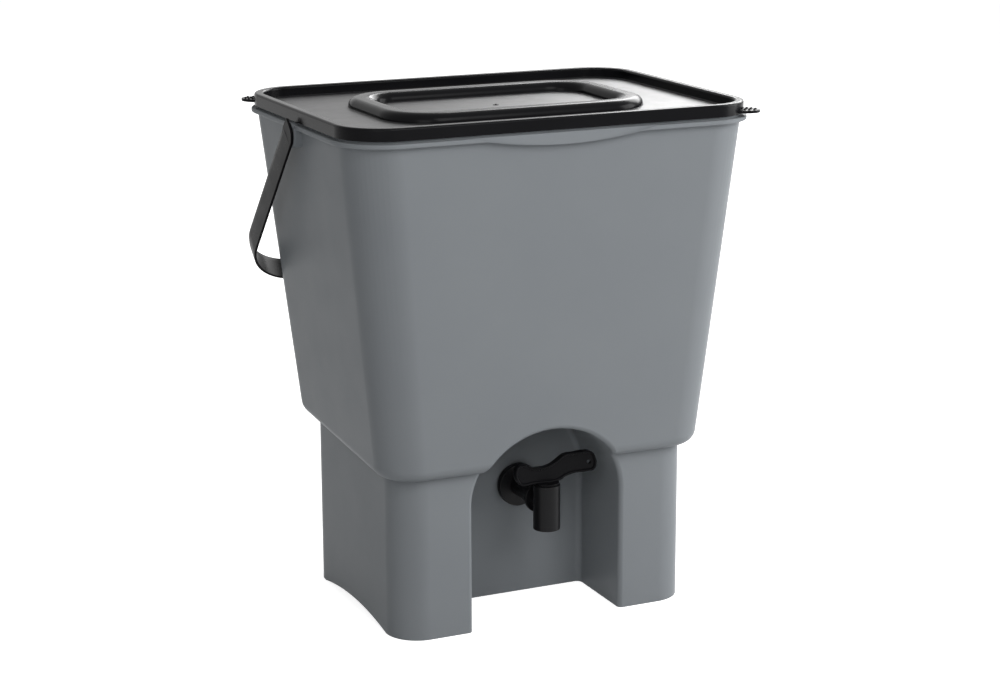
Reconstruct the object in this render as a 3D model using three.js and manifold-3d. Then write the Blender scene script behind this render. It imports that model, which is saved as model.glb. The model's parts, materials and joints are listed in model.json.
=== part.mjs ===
// A kitchen composting bin with a drain tap: a tapered grey tub on a hollow plinth, with an alcove at the
// front for the tap, a press-on black lid, a swinging carry handle and a loose strainer plate inside.
// Millimetres, +Z up, front towards -Y, floor at z = 0, origin under the middle of the tub.
import * as THREE from "three";
import { mergeVertices } from "three/addons/utils/BufferGeometryUtils.js";
import Module from "manifold-3d";

// Shared fits and facet counts
const clearance = 0.3;
const overrun = 20;
const cornerSteps = 4;
const roundSteps = 4;
const archSteps = 10;
const roundSides = 24;
const bisections = 40;

// Lid
const lidWidth = 352;
const lidDepth = 260;
const lidHalf = new THREE.Vector2(lidWidth / 2, lidDepth / 2);
const lidCorner = 40;
const lidTop = 424.5;
const lidHeight = 10;
const lidWall = 1.8;
const lidRimWidth = 7.6;
const lidRimRound = 2.4;

// Raised ring on the lid
const ringInset = new THREE.Vector2(59, 56);
const ringCorner = 45;
const ringInnerCorner = 22;
const ringWidth = 25;
const ringRound = 7;
const ringBelowRim = 0.5;

// Lid pull tabs
const tabReach = 13.9;
const tabWidth = 21;
const tabThickness = 2.4;
const tabBelowTop = 8;
const tabDegrees = 40;

// Tub
const wall = 2.6;
const skirtInset = new THREE.Vector2(43.8, 31.1);
const skirtCorner = 28;
const tubLowInset = new THREE.Vector2(32, 19);
const tubLowCorner = 32.4;
const lipBottom = 136.3;
const lipRound = 10;
const lipRiseShare = 0.075;
const tubInset = 2.6;
const flangeOverhang = 2.6;
const flangeThickness = 3.6;
const flangeGap = 2.1;
const rimHeight = 7;
const gripHalfWidth = 64;
const gripDrop = 5.4;
const floorTop = 76;
const sideArchHalfSpan = 70;
const sideArchRise = 6.7;

// Alcove
const alcoveHalfWidth = 68.2;
const archCentre = 106;
const archHeight = 61.5;
const alcoveBack = -25;
const alcoveFillet = 5;

// Tap
const tapX = 6;
const tapZ = 97.4;
const shankRadius = 10.4;
const shankSpare = 3.8;
const threadDepth = 0.8;
const threadPitch = 2.5;
const washerThickness = 2.2;
const washerMargin = 7;
const tapFlangeRadius = 18.4;
const tapFlangeThickness = 4.8;
const tapFlangeChamfer = 0.8;
const barrelRadius = 8.6;
const collarRadius = 12.6;
const collarThickness = 2.8;
const collarGap = 3.2;
const spoutReach = 60.2;
const spoutRadius = 11.2;
const spoutDrop = 22.4;
const spoutRise = 16.1;
const spoutBore = 8.2;
const feedBore = 5.6;
const nutHalfFlats = 16.2;
const nutThickness = 7;
const nutSides = 6;

// Tap lever with its plug
const bladeLength = 73.7;
const bladeTail = 29.2;
const bladeHeight = 22.9;
const bladeThickness = 6;
const bladeSteps = 52;
const neckRadius = 10.2;
const neckThickness = 1.6;
const hangHoleRadius = 2;
const hangHoleFromEnd = 6.5;
const hangHoleUp = 13;
const plugBelowAxis = 10.4;
const plugWindow = 5.4;
const sealSection = 0.7;
const lowerSealUp = 2.2;
const upperSealDown = 3.6;
const sealSides = 6;

// The blade's outline, anticlockwise from its tail: shares of its length from the tail, and of its height
const bladeOutlineShares = [
  [0.00, 0.42], [0.02, 0.20], [0.07, 0.03], [0.23, 0.03], [0.40, 0.00], [0.48, 0.01],
  [0.56, 0.06], [0.62, 0.16], [0.72, 0.23], [0.91, 0.23], [0.97, 0.26], [1.00, 0.49],
  [0.99, 0.70], [0.95, 0.93], [0.89, 1.00], [0.73, 0.99], [0.60, 0.97], [0.51, 0.79],
  [0.41, 0.64], [0.30, 0.60], [0.20, 0.65], [0.15, 0.74], [0.09, 0.78], [0.03, 0.75],
];

// Carry handle
const pivotBelowFlange = 8.9;
const lugProud = 1.2;
const lugGap = 0.5;
const pinRadius = 4.2;
const pinLength = 5.8;
const handleReach = 188;
const handleCorner = 50.8;
const strapWidth = 20.6;
const strapThickness = 2.2;
const strapRidge = 2.6;
const strapEdge = 0.9;
const ridgeFromEdge = 5;
const handleRestGap = 0.4;

// Strainer
const strainerThickness = 2.4;
const strainerOnLedge = 5.4;
const strainerNotchGap = 1.6;
const strainerMargin = 9;
const slotLength = 22;
const slotWidth = 3.2;
const slotPitchX = 30;
const slotPitchY = 14;
const knobRadius = 11;
const knobHeight = 16;
const knobStem = 5;
const knobCap = 4;
const knobBehindNotch = 50;

// Places worked out from the sizes above
const lidBottom = lidTop - lidHeight;
const panelTop = lidBottom + lidWall;
const ringHalf = lidHalf.clone().sub(ringInset);
const skirtHalf = lidHalf.clone().sub(skirtInset);
const grooveOuter = lidWall;
const grooveInner = lidRimWidth - lidWall;
const flangeTop = lidBottom - flangeGap;
const flangeBottom = flangeTop - flangeThickness;
const flangeHalf = grown(lidHalf, flangeOverhang);
const rimInset = grooveOuter + clearance * 2;
const rimTop = flangeTop + rimHeight;
const tubTopHalf = grown(lidHalf, -tubInset);
const tubTopCorner = lidCorner - tubInset;
const tubLowHalf = lidHalf.clone().sub(tubLowInset);
const tubLowZ = lipBottom + lipRound;
const lipHighest = lipRise(tubLowHalf.y);
const ledgeTop = lipBottom + wall;
const ledgeFrontY = wall - tubLowHalf.y;
const ledgeSlopeShare = lipHighest / (-ledgeFrontY * 2);
const wallInner = alcoveBack + wall;
const outerWasherFront = alcoveBack - clearance - washerThickness;
const tapFlangeBack = outerWasherFront - clearance;
const tapFlangeFront = tapFlangeBack - tapFlangeThickness;
const innerWasherFront = wallInner + clearance;
const innerWasherBack = innerWasherFront + washerThickness;
const nutFront = innerWasherBack + clearance;
const nutBack = nutFront + nutThickness;
const shankEnd = nutBack + shankSpare;
const spoutY = alcoveBack - spoutReach;
const spoutTop = tapZ + spoutRise;
const spoutBottom = tapZ - spoutDrop;
const neckLow = spoutTop + clearance;
const bladeLow = neckLow + neckThickness * 3 / 4;
const plugLow = tapZ - plugBelowAxis;
const plugRadius = spoutBore - clearance;
const sealRadius = spoutBore - clearance - sealSection;
const lowerSealZ = plugLow + lowerSealUp;
const upperSealZ = spoutTop - upperSealDown;
const pivotZ = flangeTop - pivotBelowFlange;
const lugFace = flangeHalf.x + lugProud;
const armInner = lugFace + lugGap;
const armOuter = armInner + strapThickness;
const pinEnd = armInner - pinLength;

const wasm = await Module();
wasm.setup();

// Geometry helpers

function grown(half, by) {
  return new THREE.Vector2(half.x + by, half.y + by);
}

// A level ring, from the rear end of its front left corner
function ringAt(half, radius, z) {
  const shape = new THREE.Shape();
  const x = half.x - radius;
  const y = half.y - radius;
  shape.absarc(-x, -y, radius, Math.PI, Math.PI * 3 / 2);
  shape.absarc(x, -y, radius, Math.PI * 3 / 2, Math.PI * 2);
  shape.absarc(x, y, radius, 0, Math.PI / 2);
  shape.absarc(-x, y, radius, Math.PI / 2, Math.PI);
  return shape.getPoints(cornerSteps).map((point) => new THREE.Vector3(point.x, point.y, z));
}

// Convex sections with equal numbers of points become one closed skin, whose ends are fans from their
// first points.
function skin(rings) {
  const count = rings[0].length;
  const faces = [];
  for (let level = 0; level + 1 < rings.length; level += 1) {
    for (let i = 0; i < count; i += 1) {
      const next = (i + 1) % count;
      const low = level * count;
      const high = low + count;
      faces.push([low + i, low + next, high + next], [low + i, high + next, high + i]);
    }
  }
  const last = (rings.length - 1) * count;
  for (let i = 1; i + 1 < count; i += 1) {
    faces.push([0, i + 1, i], [last, last + i, last + i + 1]);
  }
  const positions = rings.flat().flatMap((point) => point.toArray());
  const geometry = new THREE.BufferGeometry();
  geometry.setAttribute("position", new THREE.Float32BufferAttribute(positions, 3));
  geometry.setIndex(faces.flat());
  return solidOf(geometry);
}

// A closed geometry becomes a solid, turned outwards if its faces point in.
function solidOf(geometry) {
  const bare = geometry.clone();
  bare.deleteAttribute("normal");
  bare.deleteAttribute("uv");
  const merged = mergeVertices(bare);
  const points = merged.attributes.position.array;
  const corner = (i) => new THREE.Vector3().fromArray(points, i * 3);
  const faces = [];
  let volume = 0;
  for (let i = 0; i < merged.index.count; i += 3) {
    const [a, b, c] = merged.index.array.slice(i, i + 3);
    if (a !== b && b !== c && c !== a) {
      faces.push([a, b, c]);
      volume += corner(a).dot(corner(b).cross(corner(c)));
    }
  }
  const outward = volume < 0 ? faces.map(([a, b, c]) => [a, c, b]) : faces;
  return new wasm.Manifold(new wasm.Mesh({
    numProp: 3,
    vertProperties: new Float32Array(points),
    triVerts: new Uint32Array(outward.flat()),
  }));
}

function meshOf(name, solid, material) {
  const result = solid.getMesh();
  const geometry = new THREE.BufferGeometry();
  geometry.setAttribute("position", new THREE.Float32BufferAttribute(result.vertProperties, 3));
  geometry.setIndex(new THREE.BufferAttribute(result.triVerts, 1));
  geometry.computeVertexNormals();
  const mesh = new THREE.Mesh(geometry, material);
  mesh.name = name;
  return mesh;
}

function joined(solids) {
  return solids.reduce((sum, solid) => sum.add(solid));
}

// A straight-sided block with a rounded rectangular plan
function block(half, radius, low, high) {
  return skin([ringAt(half, radius, low), ringAt(half, radius, high)]);
}

function box(min, max) {
  const size = new THREE.Vector3().subVectors(max, min);
  const centre = new THREE.Vector3().addVectors(min, max).multiplyScalar(1 / 2);
  return solidOf(new THREE.BoxGeometry(size.x, size.y, size.z).translate(centre.x, centre.y, centre.z));
}

// Turned solids on the tap's level axis, and on an upright one: pairs of radius and place along the axis
function turned(profile, x = tapX, z = tapZ) {
  const points = profile.map(([radius, along]) => new THREE.Vector2(radius, along));
  return solidOf(new THREE.LatheGeometry(points, roundSides).translate(x, 0, z));
}

function turnedUpright(profile, x, y) {
  const points = profile.map(([radius, along]) => new THREE.Vector2(radius, along));
  return solidOf(new THREE.LatheGeometry(points, roundSides).rotateX(Math.PI / 2).translate(x, y, 0));
}

function rodProfile(radius, from, to) {
  return [[0, from], [radius, from], [radius, to], [0, to]];
}

// A shape pushed up by a height, then turned so that it lies in X and Z, or in Y and Z
function pushed(shape, depth) {
  return new THREE.ExtrudeGeometry(shape, { depth, bevelEnabled: false, curveSegments: archSteps });
}

function pushedInY(shape, from, to) {
  return solidOf(pushed(shape, to - from).rotateX(Math.PI / 2).translate(0, to, 0));
}

function pushedInX(shape, from, to) {
  return solidOf(pushed(shape, to - from).rotateX(Math.PI / 2).rotateZ(Math.PI / 2).translate(from, 0, 0));
}

// A quarter round as pairs of inset and rise, from its full inset down to none
function quarterRound(radius) {
  const pairs = [];
  for (let i = 0; i <= roundSteps; i += 1) {
    const turn = (Math.PI / 2) * (i / roundSteps);
    pairs.push([radius * (1 - Math.sin(turn)), radius * (1 - Math.cos(turn))]);
  }
  return pairs;
}

// Tub

// The lower lip is level round the front corners and climbs from there to the back.
function lipRise(y) {
  return lipRiseShare * Math.max(0, y + tubLowHalf.y - tubLowCorner);
}

// The ledge inside is one flat slope from front to back, so that the sump is lowest behind the tap.
function ledgeRise(y) {
  return ledgeSlopeShare * (y - ledgeFrontY);
}

// The tapered tub above its rounded lower lip, shrunk all over by an inset for its inside.
// Where the lip climbs, its points move up along the slant of the wall.
function tubCore(inset, bottom, riseAt) {
  const lowHalf = grown(tubLowHalf, -inset);
  const lowCorner = tubLowCorner - inset;
  const topHalf = grown(tubTopHalf, -inset);
  const topCorner = tubTopCorner - inset;
  const wallLow = ringAt(lowHalf, lowCorner, bottom + lipRound - inset);
  const wallTop = ringAt(topHalf, topCorner, flangeBottom);
  const rings = quarterRound(lipRound - inset).map(([inwards, up]) => (
    ringAt(grown(lowHalf, -inwards), lowCorner - inwards, bottom + up).map((point, i) => {
      const slant = new THREE.Vector3().subVectors(wallTop[i], wallLow[i]);
      return point.addScaledVector(slant, riseAt(point.y) / slant.z);
    })));
  return skin([...rings, wallTop, ringAt(topHalf, topCorner, flangeTop)]);
}

// The alcove: upright sides under half an ellipse, rounded where they meet its back wall
function alcove(outwards) {
  const half = alcoveHalfWidth + outwards;
  const outline = (inset, y) => {
    const shape = new THREE.Shape();
    shape.moveTo(half - inset, -overrun);
    shape.lineTo(half - inset, archCentre);
    shape.absellipse(0, archCentre, half - inset, archHeight + outwards - inset, 0, Math.PI);
    shape.lineTo(inset - half, -overrun);
    return shape.getPoints(archSteps).map((point) => new THREE.Vector3(point.x, y, point.y));
  };
  const rings = quarterRound(alcoveFillet + outwards).map(([inwards, forward]) => (
    outline(inwards, alcoveBack + outwards - forward)));
  rings.push(outline(0, -(flangeHalf.y + overrun)));
  return skin(rings);
}

// The flange dips in a shallow crescent at the front, as a finger grip under the lid.
function frontGrip() {
  const radius = (gripHalfWidth ** 2 + gripDrop ** 2) / (2 * gripDrop);
  const turn = Math.asin(gripHalfWidth / radius);
  const shape = new THREE.Shape();
  shape.absarc(0, flangeBottom - gripDrop + radius, radius, -Math.PI / 2 - turn, -Math.PI / 2 + turn);
  const band = block(flangeHalf, lidCorner + flangeOverhang, flangeBottom - gripDrop * 2, flangeTop);
  return pushedInY(shape, -(flangeHalf.y + overrun), lidCorner - tubTopHalf.y).intersect(band);
}

function sideArch() {
  const shape = new THREE.Shape();
  shape.moveTo(-sideArchHalfSpan, -overrun);
  shape.lineTo(-sideArchHalfSpan, 0);
  shape.quadraticCurveTo(0, sideArchRise * 2, sideArchHalfSpan, 0);
  shape.lineTo(sideArchHalfSpan, -overrun);
  return shape;
}

function handleLug(side) {
  const half = strapWidth / 2;
  const shape = new THREE.Shape();
  shape.moveTo(half, flangeTop);
  shape.lineTo(-half, flangeTop);
  shape.absarc(0, pivotZ, half, Math.PI, Math.PI * 2);
  const [from, to] = [tubLowHalf.x * side, lugFace * side].sort((a, b) => a - b);
  return pushedInX(shape, from, to);
}

// A round bar on the handle's hinge axis, between two distances out to one side
function hingeBar(radius, side, near, far) {
  const bar = new THREE.CylinderGeometry(radius, radius, far - near, roundSides).rotateZ(Math.PI / 2);
  return solidOf(bar.translate(side * (near + far) / 2, 0, pivotZ));
}

function makeBody() {
  const outer = joined([
    block(skirtHalf, skirtCorner, 0, tubLowZ + lipHighest),
    tubCore(0, lipBottom, lipRise),
    block(flangeHalf, lidCorner + flangeOverhang, flangeBottom, flangeTop),
    block(grown(lidHalf, -rimInset), lidCorner - rimInset, flangeBottom, rimTop),
    frontGrip(),
    handleLug(-1),
    handleLug(1),
  ]);
  const skirtInside = grown(skirtHalf, -wall);
  const rimInside = grown(lidHalf, -rimInset - wall);
  const hollows = joined([
    tubCore(wall, ledgeTop, ledgeRise),
    block(rimInside, lidCorner - rimInset - wall, flangeBottom, rimTop + overrun),
    block(skirtInside, skirtCorner - wall, floorTop, tubLowZ + lipHighest),
    block(skirtInside, skirtCorner - wall, -overrun, floorTop - wall),
  ]);
  const shell = outer.subtract(hollows).add(alcove(wall).intersect(outer));
  const skirtFlat = skirtHalf.x - skirtCorner;
  return shell.subtract(joined([
    alcove(0),
    pushedInX(sideArch(), -(skirtHalf.x + overrun), -skirtFlat),
    pushedInX(sideArch(), skirtFlat, skirtHalf.x + overrun),
    turned(rodProfile(shankRadius + clearance, alcoveBack - overrun, wallInner + overrun)),
    hingeBar(pinRadius + clearance, -1, pinEnd - clearance, armOuter + overrun),
    hingeBar(pinRadius + clearance, 1, pinEnd - clearance, armOuter + overrun),
  ]));
}

// Lid

// The lid without its ring: a rim with a groove below for the tub's rim, round a panel that lies lower
function lidShell() {
  const rings = [ringAt(lidHalf, lidCorner, lidBottom)];
  quarterRound(lidRimRound).reverse().forEach(([inwards, down]) => {
    rings.push(ringAt(grown(lidHalf, -inwards), lidCorner - inwards, lidTop - down));
  });
  const grooveOutside = grown(lidHalf, -grooveOuter);
  const grooveInside = grown(lidHalf, -grooveInner);
  const groove = block(grooveOutside, lidCorner - grooveOuter, lidBottom - overrun, lidTop - lidWall)
    .subtract(block(grooveInside, lidCorner - grooveInner, lidBottom - overrun * 2, lidTop));
  const recess = block(grown(lidHalf, -lidRimWidth), lidCorner - lidRimWidth, panelTop, lidTop + overrun);
  return skin(rings).subtract(groove).subtract(recess);
}

// The raised ring as a solid band, shrunk all over by an inset for the hollow under it
function ringBand(inset, bottom, top) {
  const round = ringRound - inset;
  const outerHalf = grown(ringHalf, -inset);
  const innerHalf = grown(ringHalf, inset - ringWidth);
  const outside = [ringAt(outerHalf, ringCorner - inset, bottom)];
  const inside = [ringAt(innerHalf, ringInnerCorner + inset, bottom - overrun)];
  quarterRound(round).reverse().forEach(([inwards, down]) => {
    outside.push(ringAt(grown(outerHalf, -inwards), ringCorner - inset - inwards, top - down));
    inside.push(ringAt(grown(innerHalf, inwards), ringInnerCorner + inset + inwards, top - down));
  });
  inside.push(ringAt(grown(innerHalf, round), ringInnerCorner + inset + round, top + overrun));
  return skin(outside).subtract(skin(inside));
}

// A pull tab out from a corner of the lid, rounded at its end
function pullTab(side) {
  const root = lidCorner - lidRimWidth;
  const tabTurn = THREE.MathUtils.degToRad(tabDegrees);
  const shape = new THREE.Shape();
  shape.moveTo(root, -tabWidth / 2);
  shape.lineTo(lidCorner, -tabWidth / 2);
  shape.absellipse(lidCorner, 0, tabReach, tabWidth / 2, -Math.PI / 2, Math.PI / 2);
  shape.lineTo(root, tabWidth / 2);
  const plate = pushed(shape, tabThickness).rotateZ((side < 0 ? Math.PI : 0) - tabTurn);
  const x = (lidHalf.x - lidCorner) * side;
  const y = (lidCorner - lidHalf.y) * side;
  return solidOf(plate.translate(x, y, lidTop - tabBelowTop - tabThickness / 2));
}

function makeLid() {
  const ringTop = lidTop - ringBelowRim;
  const insideRim = block(grown(lidHalf, -grooveOuter), lidCorner - grooveOuter, lidBottom, lidTop);
  return lidShell()
    .add(ringBand(0, lidBottom, ringTop))
    .subtract(ringBand(lidWall, lidBottom - overrun, ringTop - lidWall))
    .add(pullTab(-1).add(pullTab(1)).subtract(insideRim));
}

function makeLidSeal() {
  const outset = grooveOuter + clearance;
  const inset = grooveInner - clearance;
  const top = lidTop - lidWall - clearance;
  const bottom = rimTop + clearance;
  return block(grown(lidHalf, -outset), lidCorner - outset, bottom, top)
    .subtract(block(grown(lidHalf, -inset), lidCorner - inset, bottom - overrun, top + overrun));
}

// Carry handle: a flat strap bent to a U, whose cross part hangs against the back of the tub

function backWallAt(z) {
  return THREE.MathUtils.mapLinear(z, tubLowZ, flangeBottom, tubLowHalf.y, tubTopHalf.y);
}

// The angle back from straight down at which the lower edge of the cross part meets the wall
function restAngle() {
  const reach = handleReach - strapThickness;
  const half = strapWidth / 2;
  let clear = Math.PI / 2;
  let inside = 0;
  for (let i = 0; i < bisections; i += 1) {
    const angle = (clear + inside) / 2;
    const y = reach * Math.sin(angle) - half * Math.cos(angle);
    const z = pivotZ - reach * Math.cos(angle) - half * Math.sin(angle);
    if (y > backWallAt(z) + handleRestGap) {
      clear = angle;
    } else {
      inside = angle;
    }
  }
  return clear;
}

// Places along the middle of the strap: sideways and down from the hinge axis, with its outward direction
function strapPlaces() {
  const half = armOuter - strapThickness / 2;
  const reach = handleReach - strapThickness / 2;
  const bend = handleCorner - strapThickness / 2;
  const places = [[-half, 0, -1, 0]];
  for (let i = 0; i <= archSteps; i += 1) {
    const turn = (Math.PI / 2) * (i / archSteps);
    const across = Math.cos(turn);
    const along = Math.sin(turn);
    places.push([bend * (1 - across) - half, reach - bend * (1 - along), -across, along]);
  }
  return places.concat(places.map(([x, down, outX, outDown]) => [-x, down, -outX, outDown]).reverse());
}

function makeHandle() {
  const angle = restAngle();
  const half = strapWidth / 2;
  const section = [
    [-half, strapThickness / 2], [half - ridgeFromEdge, strapRidge / 2], [half, strapEdge / 2],
    [half, -strapEdge / 2], [half - ridgeFromEdge, -strapRidge / 2], [-half, -strapThickness / 2],
  ];
  const rings = strapPlaces().map(([x, down, outX, outDown]) => section.map(([back, out]) => {
    const low = down + outDown * out;
    return new THREE.Vector3(
      x + outX * out,
      low * Math.sin(angle) + back * Math.cos(angle),
      pivotZ - low * Math.cos(angle) + back * Math.sin(angle),
    );
  }));
  const ends = [-1, 1].flatMap((side) => [
    hingeBar(half, side, armInner, armOuter),
    hingeBar(pinRadius, side, pinEnd, armOuter),
  ]);
  return joined([skin(rings), ...ends]);
}

// Tap, on a level axis through the alcove's back wall

function makeTapBody() {
  const collarFront = spoutY + spoutRadius + collarGap;
  const profile = [
    [0, spoutY], [barrelRadius, spoutY],
    [barrelRadius, collarFront], [collarRadius, collarFront],
    [collarRadius, collarFront + collarThickness], [barrelRadius, collarFront + collarThickness],
    [barrelRadius, tapFlangeFront], [tapFlangeRadius - tapFlangeChamfer, tapFlangeFront],
    [tapFlangeRadius, tapFlangeFront + tapFlangeChamfer], [tapFlangeRadius, tapFlangeBack],
    [shankRadius, tapFlangeBack], [shankRadius, wallInner],
  ];
  const ridges = Math.floor((shankEnd - wallInner) / threadPitch);
  const groove = shankRadius - threadDepth;
  for (let i = 0; i < ridges; i += 1) {
    const y = wallInner + threadPitch * i;
    profile.push([shankRadius, y + threadPitch / 4], [groove, y + threadPitch / 2]);
    profile.push([groove, y + threadPitch * 3 / 4], [shankRadius, y + threadPitch]);
  }
  profile.push([groove, shankEnd], [0, shankEnd]);
  const spout = turnedUpright(rodProfile(spoutRadius, spoutBottom, spoutTop), tapX, spoutY);
  const bore = turnedUpright(rodProfile(spoutBore, spoutBottom - overrun, spoutTop + overrun), tapX, spoutY);
  const feed = turned(rodProfile(feedBore, spoutY, shankEnd + overrun));
  return turned(profile).add(spout).subtract(bore).subtract(feed);
}

function makeWasher(from) {
  const inner = shankRadius + clearance;
  const outer = shankRadius + washerMargin;
  const to = from + washerThickness;
  return turned([[inner, from], [outer, from], [outer, to], [inner, to], [inner, from]]);
}

function makeNut() {
  const corner = nutHalfFlats / Math.cos(Math.PI / nutSides);
  const corners = [];
  for (let i = 0; i < nutSides; i += 1) {
    const turn = (Math.PI * 2 * i) / nutSides;
    corners.push(new THREE.Vector2(tapX + corner * Math.cos(turn), tapZ + corner * Math.sin(turn)));
  }
  const bore = turned(rodProfile(shankRadius + clearance, nutFront - overrun, nutBack + overrun));
  return pushedInY(new THREE.Shape(corners), nutFront, nutBack).subtract(bore);
}

// The lever's blade stands across the spout, parallel to the wall while the tap is shut. Its hollow plug has a
// window in one side, which turns round to the feed as the lever opens.
function makeLever() {
  const outline = bladeOutlineShares.map(([along, up]) => (
    new THREE.Vector3(tapX - bladeTail + bladeLength * along, bladeLow + bladeHeight * up, 0)));
  const smooth = new THREE.CatmullRomCurve3(outline, true).getPoints(bladeSteps).slice(0, -1);
  const bladeShape = new THREE.Shape(smooth.map((point) => new THREE.Vector2(point.x, point.y)));
  const blade = pushedInY(bladeShape, spoutY - bladeThickness / 2, spoutY + bladeThickness / 2);
  const grooveRadius = sealRadius - sealSection - clearance;
  const grooveHalf = sealSection + clearance;
  const grooves = [lowerSealZ, upperSealZ].flatMap((z) => [
    [plugRadius, z - grooveHalf], [grooveRadius, z - grooveHalf],
    [grooveRadius, z + grooveHalf], [plugRadius, z + grooveHalf],
  ]);
  const plug = turnedUpright([
    [0, plugLow], [plugRadius, plugLow], ...grooves, [plugRadius, neckLow],
    [neckRadius, neckLow], [neckRadius, neckLow + neckThickness], [0, neckLow + neckThickness],
  ], tapX, spoutY);
  const well = turnedUpright(rodProfile(plugWindow, plugLow - overrun, tapZ + plugWindow), tapX, spoutY);
  const window = new THREE.CylinderGeometry(plugWindow, plugWindow, overrun, roundSides);
  window.rotateZ(Math.PI / 2);
  const windowCut = solidOf(window.translate(tapX - overrun / 2, spoutY, tapZ));
  const holeX = tapX - bladeTail + bladeLength - hangHoleFromEnd;
  const holeRod = rodProfile(hangHoleRadius, spoutY - overrun, spoutY + overrun);
  const hole = turned(holeRod, holeX, bladeLow + hangHoleUp);
  return plug.add(blade).subtract(well).subtract(windowCut).subtract(hole);
}

function makePlugSeal(z) {
  const ring = new THREE.TorusGeometry(sealRadius, sealSection, sealSides, roundSides);
  return solidOf(ring.translate(tapX, spoutY, z));
}

// Strainer: a slotted plate laid on the sloping ledge above the sump, with a notch for the alcove's arch
// and a lifting knob
function makeStrainer() {
  const overlap = strainerOnLedge - wall;
  const half = grown(skirtHalf, overlap);
  const low = ledgeTop + clearance;
  const top = low + strainerThickness;
  const notchBack = wallInner + strainerNotchGap;
  const notchShare = (low - archCentre) / (archHeight + wall);
  const notchHalf = (alcoveHalfWidth + wall) * Math.sqrt(1 - notchShare ** 2) + strainerNotchGap;
  const notch = box(
    new THREE.Vector3(-notchHalf, -(half.y + overrun), low - overrun),
    new THREE.Vector3(notchHalf, notchBack, top + overrun),
  );
  const knobY = notchBack + knobBehindNotch;
  const knobTop = top + knobHeight;
  const knob = turnedUpright([
    [0, low], [knobStem, low], [knobStem, knobTop - knobCap],
    [knobRadius, knobTop - knobCap], [knobRadius, knobTop], [0, knobTop],
  ], 0, knobY);
  const slots = [];
  const columns = Math.floor((half.x - strainerMargin - slotLength / 2) / slotPitchX);
  const rows = Math.floor((half.y - strainerMargin - slotWidth / 2) / slotPitchY);
  for (let column = -columns; column <= columns; column += 1) {
    for (let row = -rows; row <= rows; row += 1) {
      const x = column * slotPitchX;
      const y = row * slotPitchY;
      const besideNotch = Math.abs(x) - slotLength / 2 > notchHalf + strainerMargin / 2;
      const behindNotch = y - slotWidth / 2 > notchBack + strainerMargin / 2;
      const nearKnob = Math.hypot(x, y - knobY) < knobRadius + slotLength / 2;
      if ((besideNotch || behindNotch) && !nearKnob) {
        slots.push(box(
          new THREE.Vector3(x - slotLength / 2, y - slotWidth / 2, low - overrun),
          new THREE.Vector3(x + slotLength / 2, y + slotWidth / 2, top + overrun),
        ));
      }
    }
  }
  const level = block(half, skirtCorner + overlap, low, top).subtract(notch).subtract(joined(slots)).add(knob);
  const tilt = THREE.MathUtils.radToDeg(Math.atan(ledgeSlopeShare));
  return level.translate([0, -ledgeFrontY, -low]).rotate([tilt, 0, 0]).translate([0, ledgeFrontY, low]);
}

// Materials
const greyPlastic = new THREE.MeshStandardMaterial({ color: 0x7b8084, roughness: 0.5, metalness: 0 });
const blackPlastic = new THREE.MeshStandardMaterial({ color: 0x1c1c1e, roughness: 0.35, metalness: 0 });
const tapPlastic = new THREE.MeshStandardMaterial({ color: 0x161617, roughness: 0.5, metalness: 0 });
const blackRubber = new THREE.MeshStandardMaterial({ color: 0x101010, roughness: 0.8, metalness: 0 });

const bin = new THREE.Group();
bin.add(
  meshOf("bin_body", makeBody(), greyPlastic),
  meshOf("lid", makeLid(), blackPlastic),
  meshOf("lid_seal", makeLidSeal(), blackRubber),
  meshOf("carry_handle", makeHandle(), blackPlastic),
  meshOf("strainer", makeStrainer(), greyPlastic),
  meshOf("tap_body", makeTapBody(), tapPlastic),
  meshOf("tap_outer_washer", makeWasher(outerWasherFront), blackRubber),
  meshOf("tap_inner_washer", makeWasher(innerWasherFront), blackRubber),
  meshOf("tap_nut", makeNut(), tapPlastic),
  meshOf("tap_lever", makeLever(), tapPlastic),
  meshOf("plug_seal_lower", makePlugSeal(lowerSealZ), blackRubber),
  meshOf("plug_seal_upper", makePlugSeal(upperSealZ), blackRubber),
);

export default bin;
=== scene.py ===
"""A kitchen composting bin with a drain tap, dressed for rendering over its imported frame.

Metres, +Z up, front towards -Y. The tub, lid, handle and tap are modelled here in full detail, and the
pieces inside keep the frame's own meshes with a better finish.
"""

import json
import math

import bmesh
import bpy
from bpy.props import FloatProperty, FloatVectorProperty, PointerProperty, StringProperty
from bpy.types import Operator, Panel, PropertyGroup
from mathutils import Matrix, Vector


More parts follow.
